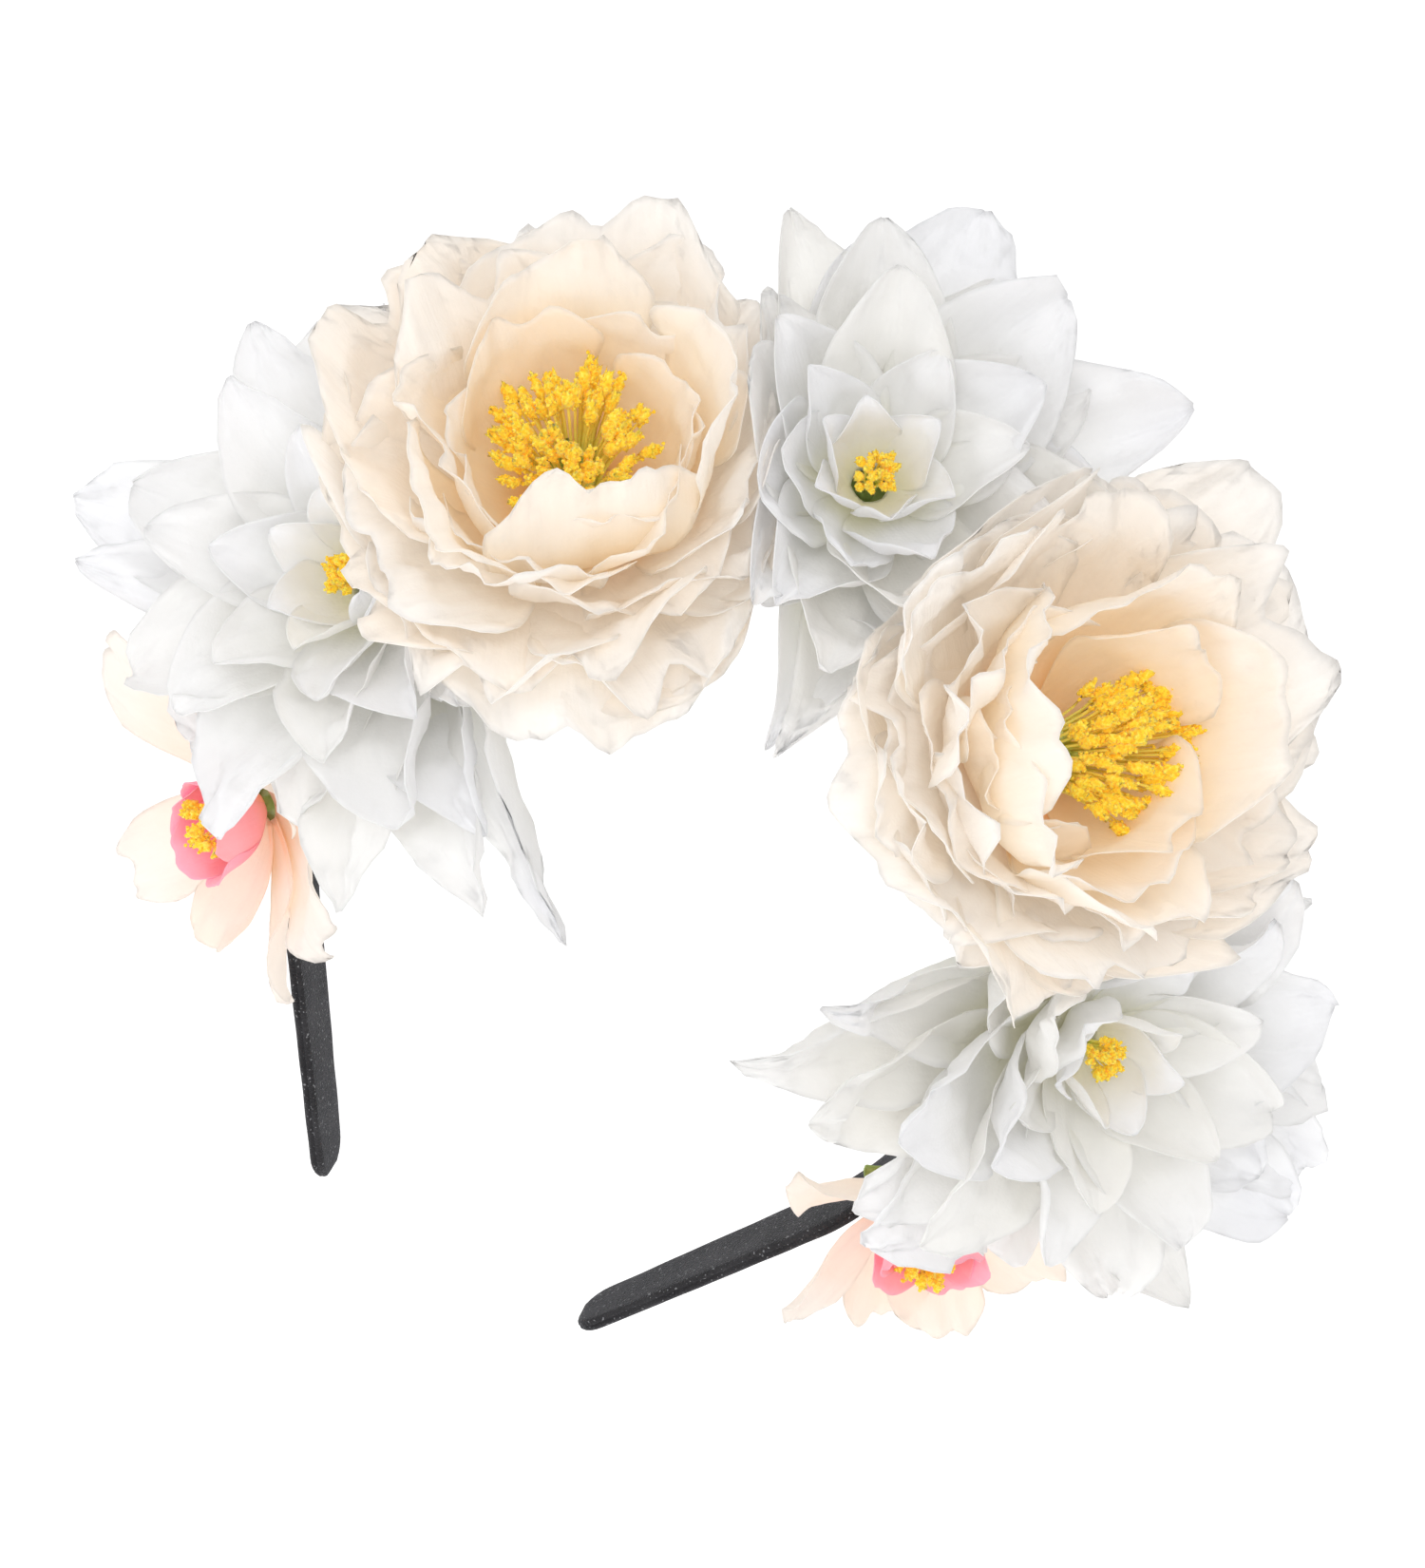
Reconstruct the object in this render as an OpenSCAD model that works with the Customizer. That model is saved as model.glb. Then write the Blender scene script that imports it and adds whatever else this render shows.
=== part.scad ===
// Flower crown: a springy velvet-covered headband that carries five large
// artificial flowers and two small blossoms. It is drawn as it is worn, in
// millimetres: +Z up, the wearer looks along -Y, and the origin is the middle
// of the band's inner face, where it rests on the top of the head.

/* [Headband] */
// Inside radius of the round top of the band
head_r = 61; // [58:0.5:64]
// Width of the velvet-covered band, front to back
band_w = 15; // [13:0.5:16]
// Thickness of the velvet-covered band
band_t = 2.6; // [2.4:0.1:3]
// Upright stretch below the round top
side_l = 23; // [20:1:24]
// Radius of the bend that turns each leg inward
bend_r = 50; // [46:1:54]
// Lean of the bare legs from upright, degrees
leg_lean = 31; // [26:1:32]
// Straight length of each bare leg, to the end of its tip
leg_l = 54; // [46:1:56]
// Width of the band across the round tips
tip_w = 12; // [11:0.5:13]
// Thickness of the spring steel strip inside the velvet
strip_t = 1; // [0.8:0.1:1.2]
// Width of the spring steel strip
strip_w = 11; // [10:0.5:11.5]

/* [Flowers] */
// Width of the open peonies
peony_d = 92; // [86:1:96]
// Width of the white dahlias, tip to tip
dahlia_d = 112; // [104:1:116]
// Width of the small blossoms
blossom_d = 66; // [60:1:68]
// Thickness of a stiffened fabric petal layer
petal_t = 0.9; // [0.7:0.1:1]

/* [Hidden] */
$fn = 64;

// The band's layout: its outer face, the felt on it, and the flex line of each leg
outer_r = head_r + band_t;
felt_t = 1.2;
felt_w = 12;
felt_r = outer_r + felt_t;
velvet_t = (band_t - strip_t) / 2;
side_z = -head_r - side_l;
bend_x = head_r + band_t / 2 - bend_r;
flex_drop = 8;
flex_gap = 0.8;
gap_angle = flex_gap / bend_r * 180 / PI;
leg_opens = 11;
leg_room = 2.4;

// Flower build: each layer is a bowl that sits on the hub of the layer below
hub_r = 6;
layer_step = 1.6;
peg_r = 1.4;
peg_play = 0.1;
bowl_bands = 5;
calyx_h = 6;
stem_r = 1.2;
knee_r = 1.5;
glue_r = 5.5;
neighbour_gap = 0.4;
far = 400;

// Where each flower sits: [clock angle from the top of the band, distance from
// the centre of the round top, distance in front of the band's middle plane,
// turn to the wearer's left, lift above level, where its stem crosses the band]
left_peony = [-41, 69, 14, -19, 45, 10];
right_peony = [33, 66, 21, 34, 41, 10];
left_dahlia = [-73, 70, 11, -39, 16, 5];
top_dahlia = [-4, 78, 6, -2, 40, 2];
right_dahlia = [79, 72, 11, 39, 16, 5];
left_blossom = [-113, 75, 6, -36, -22, 4];
right_blossom = [115, 74, 6, 36, -26, 4];
heart_h = 18;

function face(f) = [cos(f[4]) * sin(f[3]), -cos(f[4]) * cos(f[3]), sin(f[4])];
function around(clock, r, front) = [r * sin(clock), -front, r * cos(clock) - head_r];
function base(f) = around(f[0], f[1], f[2]);
function heart(f) = base(f) + heart_h * face(f);
function anchor_clock(f) = sign(f[0]) * min(abs(f[0]), 104);
function length_of(v) = sqrt(v * v);
function turned_about(pivot, p, a) =
    pivot + [cos(a) * (p - pivot)[0] - sin(a) * (p - pivot)[1],
             sin(a) * (p - pivot)[0] + cos(a) * (p - pivot)[1]];

// Points the children's +Z along a direction
module along(v) {
    rotate([0, acos(v[2] / length_of(v)), atan2(v[1], v[0])])
        children();
}

module placed(f) {
    translate(base(f))
        rotate([0, 0, f[3]])
            rotate([90 - f[4], 0, 0])
                children();
}

module rod(from, to, r) {
    translate(from)
        along(to - from)
            cylinder(h = length_of(to - from), r = r);
}

// ---------- headband ----------

// Side view of a stretch of strip bent to a radius
module bent_outline(mid_r, from, to, t) {
    reach = 2 * mid_r;
    mid = (from + to) / 2;
    intersection() {
        difference() {
            circle(r = mid_r + t / 2, $fn = 180);
            circle(r = mid_r - t / 2, $fn = 180);
        }
        polygon([[0, 0], for (a = [from, mid, to]) reach * [cos(a), sin(a)]]);
    }
}

// Side view of the round top and the sides down to the flex lines
module arch_outline(mid_r, t) {
    translate([0, -head_r])
        bent_outline(mid_r, 0, 180, t);
    for (side = [0, 1])
        mirror([side, 0]) {
            translate([mid_r - t / 2, side_z])
                square([t, side_l]);
            translate([bend_x, side_z])
                bent_outline(mid_r - bend_x, -flex_drop, 0, t);
        }
}

// Stands a side view up in the plane of the arch and gives it its width
module upright(w) {
    rotate([90, 0, 0])
        linear_extrude(w, center = true)
            children();
}

module arch_strip(mid_r, t, w) {
    upright(w)
        arch_outline(mid_r, t);
}

// Side view of a leg: the rest of the bend, then the straight
module leg_side_outline(t, l) {
    bent_outline(bend_r, -leg_lean, -flex_drop - gap_angle, t);
    rotate(-leg_lean)
        translate([bend_r - t / 2, -l])
            square([t, l]);
}

// A leg seen on its wide face, tapering to its round tip. It runs on past the
// bend, ever wider, so that only the straight is narrowed.
module leg_face_outline(w, end_w, l) {
    straight = l - end_w / 2;
    run_on = 3 * straight;
    wide = w + (w - end_w) * run_on / straight;
    polygon([[-run_on, -wide / 2], [straight, -end_w / 2], [straight, end_w / 2], [-run_on, wide / 2]]);
    translate([straight, 0])
        circle(d = end_w);
}

// One leg below its flex line
module leg_strip(t, w, end_w, l) {
    translate([bend_x, 0, side_z])
        intersection() {
            upright(w)
                leg_side_outline(t, l);
            rotate([0, leg_lean, 0])
                translate([bend_r / 2, 0, 0])
                    rotate([0, 90, 0])
                        linear_extrude(bend_r)
                            leg_face_outline(w, end_w, l);
        }
}

module spring_strip_arch() {
    color("#9a9ca0")
        arch_strip(head_r + band_t / 2, strip_t, strip_w);
}

module spring_strip_leg() {
    color("#9a9ca0")
        leg_strip(strip_t, strip_w, tip_w - 4, leg_l - 2);
}

module velvet_cover_arch() {
    color("#3a3839")
        difference() {
            arch_strip(head_r + band_t / 2, band_t, band_w);
            spring_strip_arch();
        }
}

module velvet_cover_leg() {
    color("#3a3839")
        difference() {
            leg_strip(band_t, band_w, tip_w, leg_l);
            spring_strip_leg();
        }
}

// Felt strip glued along the outer face, which the flower stems are glued to
module felt_backing() {
    felt_mid = outer_r + felt_t / 2;
    color("#4a4a4d")
        translate([0, 0, -head_r])
            upright(felt_w) {
                bent_outline(felt_mid, 0, 180, felt_t);
                for (side = [-1, 1])
                    translate([side * felt_mid - felt_t / 2, -side_l])
                        square([felt_t, side_l]);
            }
}

// ---------- flower mounting ----------

// The point on the felt where a flower's stem is glued
function anchor(f, out, front) =
    abs(f[0]) < 90
        ? around(f[0], felt_r + out, front)
        : [sign(f[0]) * (felt_r + out), -front, -head_r - side_l + 4];

// The space taken by the band and its felt, wide enough to trim what lies on it
module band_zone() {
    translate([0, 0, -head_r]) {
        intersection() {
            rotate([90, 0, 0])
                cylinder(r = felt_r, h = band_w, center = true, $fn = 180);
            translate([-far / 2, -band_w, 0])
                cube([far, 2 * band_w, far]);
        }
        translate([-felt_r, -band_w / 2, -side_l])
            cube([2 * felt_r, band_w, side_l]);
    }
    translate([-outer_r, -band_w / 2, side_z - side_l])
        cube([2 * outer_r, band_w, side_l]);
    for (side = [0, 1])
        mirror([side, 0, 0])
            upright(band_w + leg_room)
                leg_swing_outline();
}

// Side view of the space that a leg sweeps as it springs open
module leg_swing_outline() {
    flex_at = [bend_x + bend_r * cos(flex_drop), side_z - bend_r * sin(flex_drop)];
    down = [-sin(leg_lean), -cos(leg_lean)];
    outward = [cos(leg_lean), -sin(leg_lean)];
    knee = [bend_x, side_z] + bend_r * outward;
    tip = knee + (leg_l + leg_room) * down;
    polygon([
        flex_at - leg_room * outward,
        knee - leg_room * outward,
        tip - leg_room * outward,
        turned_about(flex_at, tip + leg_room * outward, leg_opens),
        turned_about(flex_at, knee + leg_room * outward, leg_opens),
        flex_at + leg_room * outward,
    ]);
}

// Half space on the far side of the plane where two neighbours' petals press
module beyond(f, neighbour, share) {
    away = heart(neighbour) - heart(f);
    translate(heart(f) + share * away)
        along(away)
            translate([-far / 2, -far / 2, -neighbour_gap / 2])
                cube(far);
}

// Trims a flower's piece where it presses on its neighbours and on the band
module fitted(f, neighbours) {
    difference() {
        placed(f)
            children();
        for (n = neighbours)
            beyond(f, n[0], n[1]);
        band_zone();
    }
}

// ---------- flower pieces ----------

// Rounded petals in a ring, as stamped from one sheet
module round_petals(rim_r, petals) {
    s = sin(180 / petals);
    lobe_r = 1.1 * rim_r * s / (1 + s);
    circle(r = 0.72 * rim_r);
    for (i = [0 : petals - 1])
        rotate(i * 360 / petals)
            translate([rim_r - lobe_r, 0])
                circle(r = lobe_r);
}

// Long pointed petals in a ring, as stamped from one sheet
module pointed_petals(tip_r, petals, petal_w) {
    half_l = tip_r / 2;
    side_r = (half_l * half_l + petal_w * petal_w / 4) / petal_w;
    circle(r = hub_r);
    for (i = [0 : petals - 1])
        rotate(i * 360 / petals)
            translate([half_l, 0])
                intersection_for(side = [-1, 1])
                    translate([0, side * (side_r - petal_w / 2)])
                        circle(r = side_r);
}

// A dished sheet whose bands rise as a ball of radius bowl_r does
module bowl_shell(bowl_r) {
    reach = 0.9 * bowl_r;
    rings = [for (k = [0 : bowl_bands]) k * reach / bowl_bands];
    rise = [for (r = rings) bowl_r - sqrt(bowl_r * bowl_r - r * r)];
    under = [for (k = [0 : bowl_bands]) [rings[k], rise[k]]];
    over = [for (k = [bowl_bands : -1 : 0]) [rings[k], rise[k] + petal_t]];
    rotate_extrude()
        polygon(concat(under, over));
}

// A layer of petals pressed into a bowl, with the flat hub that it stacks on
module petal_bowl(level, bowl_r) {
    translate([0, 0, level * layer_step])
        difference() {
            union() {
                cylinder(r = hub_r, h = layer_step);
                intersection() {
                    bowl_shell(bowl_r);
                    linear_extrude(bowl_r)
                        children();
                }
            }
            translate([0, 0, -1])
                cylinder(r = peg_r + peg_play, h = layer_step + 2);
        }
}

// Green cup under the petals, the peg that the layers are threaded on, and the
// stem that is bent over the band
module calyx(f, top_r, layers) {
    cup = base(f) - calyx_h * face(f);
    knee = anchor(f, 2.5, f[5]);
    end = anchor(f, 1.5, -3);
    difference() {
        union() {
            placed(f) {
                translate([0, 0, -calyx_h])
                    cylinder(h = calyx_h, r1 = 3, r2 = top_r);
                cylinder(h = layers * layer_step, r = peg_r);
            }
            rod(cup, knee, stem_r);
            translate(knee)
                sphere(r = knee_r);
            rod(knee, end, stem_r);
        }
        band_zone();
    }
}

module anthers(stalk_h, ring_r, tuft_r, bore_r) {
    rotate_extrude() {
        polygon([[bore_r, 0], [bore_r + 2, 0], [ring_r + 1, stalk_h], [ring_r - 1, stalk_h]]);
        translate([ring_r, stalk_h])
            circle(r = tuft_r);
    }
}

module pistil() {
    cylinder(h = 4, r = 4.2);
    for (i = [0 : 2])
        rotate(i * 120)
            translate([2, 0, 0]) {
                cylinder(h = 12, r = 1.5);
                translate([0, 0, 12])
                    sphere(r = 2.2);
            }
}

// ---------- the flowers ----------

peony_bowls = [54, 48.5, 41, 32.5];
peony_rims = [1, 0.9, 0.76, 0.6];
peony_counts = [8, 8, 7, 6];
peony_layers = len(peony_bowls);

module peony_petals(f, neighbours, level) {
    color(level < 2 ? "#fbf1e6" : "#f8ddc4")
        fitted(f, neighbours)
            petal_bowl(level, peony_bowls[level])
                rotate(level * 25)
                    round_petals(peony_rims[level] * peony_d / 2, peony_counts[level]);
}

module peony_calyx(f) {
    color("#8fa35c")
        calyx(f, 9, peony_layers);
}

module peony_stamens(f) {
    color("#ffc814")
        placed(f)
            translate([0, 0, peony_layers * layer_step])
                anthers(13, 11.5, 4.5, 4.6);
}

module peony_pistil(f) {
    color("#a9b45a")
        placed(f)
            translate([0, 0, peony_layers * layer_step])
                pistil();
}

dahlia_bowls = [120, 74, 46, 26];
dahlia_tips = [1, 0.84, 0.62, 0.4];
dahlia_counts = [9, 8, 7, 6];
dahlia_layers = len(dahlia_bowls);

module dahlia_petals(f, neighbours, level) {
    color("#fafaf6")
        fitted(f, neighbours)
            petal_bowl(level, dahlia_bowls[level])
                rotate(level * 20)
                    pointed_petals(dahlia_tips[level] * dahlia_d / 2, dahlia_counts[level],
                                   0.42 * dahlia_tips[level] * dahlia_d / 2);
}

module dahlia_calyx(f) {
    color("#8fa35c")
        calyx(f, 7, dahlia_layers);
}

module dahlia_stamens(f) {
    color("#f2b33c")
        placed(f)
            translate([0, 0, dahlia_layers * layer_step])
                intersection() {
                    sphere(r = 5);
                    cylinder(h = 5, r = 5);
                }
}

blossom_layers = 2;

module blossom_petals(f, neighbours) {
    color("#f6efda")
        fitted(f, neighbours)
            petal_bowl(0, 42)
                round_petals(blossom_d / 2, 6);
}

module blossom_bell(f, neighbours) {
    color("#f08a78")
        fitted(f, neighbours)
            petal_bowl(1, 14)
                round_petals(13.5, 5);
}

module blossom_calyx(f) {
    color("#8fa35c")
        calyx(f, 5, blossom_layers);
}

module blossom_stamens(f) {
    color("#e8c24a")
        placed(f)
            translate([0, 0, blossom_layers * layer_step])
                anthers(7, 4.6, 1.8, 1);
}

// Which neighbours each flower's petals press on, and what share of the way
// to them it keeps
left_peony_by = [[left_dahlia, 0.55], [top_dahlia, 0.58], [right_peony, 0.5]];
right_peony_by = [[right_dahlia, 0.55], [top_dahlia, 0.58], [left_peony, 0.5]];
left_dahlia_by = [[left_peony, 0.45], [left_blossom, 0.6]];
right_dahlia_by = [[right_peony, 0.45], [right_blossom, 0.6]];
top_dahlia_by = [[left_peony, 0.42], [right_peony, 0.42]];
left_blossom_by = [[left_dahlia, 0.4]];
right_blossom_by = [[right_dahlia, 0.4]];

// One bead of glue on each stem, where it lies on the felt
module glue_bead(f) {
    difference() {
        translate(anchor(f, 1, 0))
            sphere(r = glue_r);
        band_zone();
        children();
    }
}

module hot_glue() {
    color("#e9e2cf") {
        glue_bead(left_peony) peony_calyx(left_peony);
        glue_bead(right_peony) peony_calyx(right_peony);
        glue_bead(left_dahlia) dahlia_calyx(left_dahlia);
        glue_bead(top_dahlia) dahlia_calyx(top_dahlia);
        glue_bead(right_dahlia) dahlia_calyx(right_dahlia);
        glue_bead(left_blossom) blossom_calyx(left_blossom);
        glue_bead(right_blossom) blossom_calyx(right_blossom);
    }
}

// ---------- nodes ----------

spring_strip_arch();
mirror([1, 0, 0]) spring_strip_leg();  // spring_strip_left_leg
spring_strip_leg();  // spring_strip_right_leg
velvet_cover_arch();
mirror([1, 0, 0]) velvet_cover_leg();  // velvet_cover_left_leg
velvet_cover_leg();  // velvet_cover_right_leg
felt_backing();
hot_glue();

module peony_nodes(name, f, by) {
    peony_calyx(f);
    peony_petals(f, by, 0);
    peony_petals(f, by, 1);
    peony_petals(f, by, 2);
    peony_petals(f, by, 3);
    peony_stamens(f);
    peony_pistil(f);
}

module dahlia_nodes(name, f, by) {
    dahlia_calyx(f);
    dahlia_petals(f, by, 0);
    dahlia_petals(f, by, 1);
    dahlia_petals(f, by, 2);
    dahlia_petals(f, by, 3);
    dahlia_stamens(f);
}

module blossom_nodes(name, f, by) {
    blossom_calyx(f);
    blossom_petals(f, by);
    blossom_bell(f, by);
    blossom_stamens(f);
}

peony_nodes("left_peony", left_peony, left_peony_by);
peony_nodes("right_peony", right_peony, right_peony_by);
dahlia_nodes("left_dahlia", left_dahlia, left_dahlia_by);
dahlia_nodes("top_dahlia", top_dahlia, top_dahlia_by);
dahlia_nodes("right_dahlia", right_dahlia, right_dahlia_by);
blossom_nodes("left_blossom", left_blossom, left_blossom_by);
blossom_nodes("right_blossom", right_blossom, right_blossom_by);
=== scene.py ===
"""Looks of the flower crown: fabric petals, thread stamens and the velvet headband.

Lengths are millimetres in the tables and metres in every mesh (MM turns one into the other).
The crown is drawn as it is worn: +Z up, the flowers face -Y, and the origin is the middle of
the band's inner face. A flower's own frame has +Z along its axis, away from its stem.
"""

import bpy
import math
import random
from mathutils import Matrix, Vector, noise


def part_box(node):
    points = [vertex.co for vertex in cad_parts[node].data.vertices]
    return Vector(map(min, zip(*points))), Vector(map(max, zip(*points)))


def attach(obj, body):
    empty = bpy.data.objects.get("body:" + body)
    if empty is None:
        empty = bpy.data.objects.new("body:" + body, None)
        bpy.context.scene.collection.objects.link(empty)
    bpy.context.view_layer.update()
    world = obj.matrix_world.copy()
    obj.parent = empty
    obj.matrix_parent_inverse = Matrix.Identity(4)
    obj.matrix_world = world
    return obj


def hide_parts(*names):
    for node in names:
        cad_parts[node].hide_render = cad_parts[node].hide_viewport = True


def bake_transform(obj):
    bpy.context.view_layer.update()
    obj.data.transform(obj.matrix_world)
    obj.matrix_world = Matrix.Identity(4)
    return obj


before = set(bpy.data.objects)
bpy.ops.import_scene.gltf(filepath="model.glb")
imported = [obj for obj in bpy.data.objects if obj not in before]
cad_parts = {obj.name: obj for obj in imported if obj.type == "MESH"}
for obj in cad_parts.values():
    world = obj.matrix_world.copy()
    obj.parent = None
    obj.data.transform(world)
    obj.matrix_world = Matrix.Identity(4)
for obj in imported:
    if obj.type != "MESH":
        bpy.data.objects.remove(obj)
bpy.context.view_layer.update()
MM = 0.001

# ---------------------------------------------------------------- layout

# The band is a round top, a straight side, a bend, and a straight leg that leans inward
band_low, band_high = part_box("velvet_cover_arch")
OUTER_R = band_high.x / MM
BAND_T = band_high.z / MM
BAND_W = (band_high.y - band_low.y) / MM
HEAD_R = OUTER_R - BAND_T
MID_R = HEAD_R + BAND_T / 2
SIDE_L = 23
BEND_R = 50
LEG_LEAN = 31
LEG_L = 54
TIP_W = 12
# Height of a flower's middle above the foot of its axis
HEART_H = 18

# Each flower: clock angle from the top of the band, distance from the centre of the
# round top, distance in front of the band, turn to the wearer's left, lift above level
FLOWERS = {
    "left_peony": (-41, 69, 14, -19, 45),
    "right_peony": (33, 66, 21, 34, 41),
    "left_dahlia": (-73, 70, 11, -39, 16),
    "top_dahlia": (-4, 78, 6, -2, 40),
    "right_dahlia": (79, 72, 11, 39, 16),
    "left_blossom": (-113, 75, 6, -36, -22),
    "right_blossom": (115, 74, 6, 36, -26),
}


def flower_matrix(name):
    """The flower's own frame, in metres in the row frame."""
    clock, reach, front, turn, lift = FLOWERS[name]
    angle = math.radians(clock)
    place = Vector((reach * math.sin(angle), -front, reach * math.cos(angle) - HEAD_R)) * MM
    swing = Matrix.Rotation(math.radians(turn), 4, "Z")
    tip_over = Matrix.Rotation(math.radians(90 - lift), 4, "X")
    return Matrix.Translation(place) @ swing @ tip_over


# ---------------------------------------------------------------- camera

CAMERA_AIM = Vector((-2.5, 0, -45.9)) * MM
CAMERA_DISTANCE = 0.62
CAMERA_ELEVATION = 25
CAMERA_AZIMUTH = -1
CAMERA_ROLL = 30.7
PIXELS_PER_MM = 6.0
IMAGE_H = 1650
SENSOR_L = 36


def make_camera():
    lift, turn, roll = (math.radians(a) for a in (CAMERA_ELEVATION, CAMERA_AZIMUTH, CAMERA_ROLL))
    back = Vector((math.sin(turn), -math.cos(turn), math.tan(lift))) * math.cos(lift)
    level = Vector((0, 0, 1)).cross(back).normalized()
    upright = back.cross(level)
    right = level * math.cos(roll) + upright * math.sin(roll)
    up = upright * math.cos(roll) - level * math.sin(roll)
    camera = bpy.data.objects.new("camera", bpy.data.cameras.new("camera"))
    bpy.context.scene.collection.objects.link(camera)
    turned = Matrix((right, up, back)).transposed().to_4x4()
    camera.matrix_world = Matrix.Translation(CAMERA_AIM + back * CAMERA_DISTANCE) @ turned
    camera.data.sensor_width = SENSOR_L
    focal_pixels = PIXELS_PER_MM * CAMERA_DISTANCE / MM
    camera.data.lens = SENSOR_L * focal_pixels / IMAGE_H
    camera.data.clip_start = 0.01
    bpy.context.scene.camera = camera


make_camera()

# ---------------------------------------------------------------- material helpers


def new_material(name, roughness, **sockets):
    """A node material with one shader. Sockets holds values that are the same all over."""
    material = bpy.data.materials.new(name)
    material.use_nodes = True
    shader = material.node_tree.nodes["Principled BSDF"]
    shader.inputs["Roughness"].default_value = roughness
    for socket, value in sockets.items():
        shader.inputs[socket.replace("_", " ")].default_value = value
    return material, material.node_tree, shader


def add_node(tree, kind, inputs=None, **settings):
    """A node with its settings. Each input is a value, or a socket to link from."""
    made = tree.nodes.new(kind)
    for key, value in settings.items():
        setattr(made, key, value)
    for key, value in (inputs or {}).items():
        if isinstance(value, bpy.types.NodeSocket):
            tree.links.new(value, made.inputs[key])
        else:
            made.inputs[key].default_value = value
    return made


def noise_value(tree, scale, detail=3.0, vector=None):
    """Noise fixed to the object unless a vector is given."""
    inputs = {"Scale": scale, "Detail": detail}
    if vector is None:
        vector = add_node(tree, "ShaderNodeTexCoord").outputs["Object"]
    inputs["Vector"] = vector
    return add_node(tree, "ShaderNodeTexNoise", inputs).outputs["Fac"]


def ramp(tree, value, stops):
    """Colours at positions along a value, blended smoothly."""
    made = add_node(tree, "ShaderNodeValToRGB", {"Fac": value})
    made.color_ramp.interpolation = "EASE"
    for index, (position, colour) in enumerate(stops):
        elements = made.color_ramp.elements
        stop = elements[index] if index < 2 else elements.new(position)
        stop.position = position
        stop.color = (*colour, 1)
    return made.outputs["Color"]


def mix_colour(tree, share, a, b, blend="MIX"):
    made = add_node(tree, "ShaderNodeMix", data_type="RGBA", blend_type=blend)
    for index, value in ((0, share), (6, a), (7, b)):
        if isinstance(value, bpy.types.NodeSocket):
            tree.links.new(value, made.inputs[index])
        elif index == 0:
            made.inputs[index].default_value = value
        else:
            made.inputs[index].default_value = (*value, 1)
    return made.outputs[2]


def scaled(tree, value, factor):
    return math_value(tree, "MULTIPLY", value, factor)


def math_value(tree, operation, a, b=0.0):
    made = add_node(tree, "ShaderNodeMath", operation=operation)
    for index, value in ((0, a), (1, b)):
        if isinstance(value, bpy.types.NodeSocket):
            tree.links.new(value, made.inputs[index])
        else:
            made.inputs[index].default_value = value
    return made.outputs[0]


def bump(tree, shader, height, distance, strength=0.6):
    sizes = {"Height": height, "Distance": distance, "Strength": strength}
    made = add_node(tree, "ShaderNodeBump", sizes)
    tree.links.new(made.outputs["Normal"], shader.inputs["Normal"])


# ---------------------------------------------------------------- materials

# How far the change of colour along a petal wanders, as a share of its length
DYE_WANDER = 0.34
# Strength of the light each petal gives off in its own colour: painted light that lifts its shade
PETAL_PAINTED_GLOW = 0.062
# Strength of the light the anthers give off in their own colour: painted light
ANTHER_PAINTED_GLOW = 0.14


def petal_material(name, throat, middle, rim, tint, veins=22.0, shine_through=0.42, painted_glow=PETAL_PAINTED_GLOW):
    """Stiffened fabric: a colour that runs from the petal's base to its rim, pressed veins
    along it, a fine weave, and light that passes through. The glow it gives off in its own
    colour is painted light, which lifts its shaded parts."""
    material, tree, shader = new_material(
        name, 0.62, Sheen_Weight=0.12, Sheen_Roughness=0.5, Specular_IOR_Level=0.2)
    uv = add_node(tree, "ShaderNodeUVMap", uv_map="petal").outputs["UV"]
    split = add_node(tree, "ShaderNodeSeparateXYZ", {"Vector": uv})
    across, along = split.outputs["X"], split.outputs["Y"]
    cloud = noise_value(tree, 60, 3)
    wander = math_value(tree, "MULTIPLY_ADD", cloud, DYE_WANDER)
    wander.node.inputs[2].default_value = -DYE_WANDER / 2
    place = math_value(tree, "ADD", along, wander)
    dye = ramp(tree, place, ((0.0, throat), (0.42, middle), (0.9, rim)))
    tinted = add_node(tree, "ShaderNodeAttribute", attribute_name="tint").outputs["Fac"]
    colour = mix_colour(tree, tinted, dye, tint)
    streak_at = add_node(tree, "ShaderNodeCombineXYZ", {"X": across, "Y": scaled(tree, along, 0.12)})
    streaks = noise_value(tree, veins, 2, streak_at.outputs["Vector"])
    shade = ramp(tree, streaks, ((0.3, (0.975, 0.975, 0.975)), (0.7, (1.0, 1.0, 1.0))))
    colour = mix_colour(tree, 0.8, colour, shade, "MULTIPLY")
    tree.links.new(colour, shader.inputs["Base Color"])
    # The petal gives off light in its own colour: painted light, which lifts its shade
    tree.links.new(colour, shader.inputs["Emission Color"])
    shader.inputs["Emission Strength"].default_value = painted_glow
    weave = noise_value(tree, 1400, 1)
    creases = noise_value(tree, 170, 2)
    height = math_value(tree, "ADD", scaled(tree, weave, 0.12), scaled(tree, creases, 0.5))
    height = math_value(tree, "ADD", height, scaled(tree, streaks, 0.55))
    bump(tree, shader, height, 0.0012, 0.6)
    behind = add_node(tree, "ShaderNodeBsdfTranslucent", {"Color": colour})
    both = add_node(tree, "ShaderNodeMixShader", {"Fac": shine_through})
    tree.links.new(shader.outputs["BSDF"], both.inputs[1])
    tree.links.new(behind.outputs["BSDF"], both.inputs[2])
    tree.links.new(both.outputs["Shader"], tree.nodes["Material Output"].inputs["Surface"])
    return material


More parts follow.
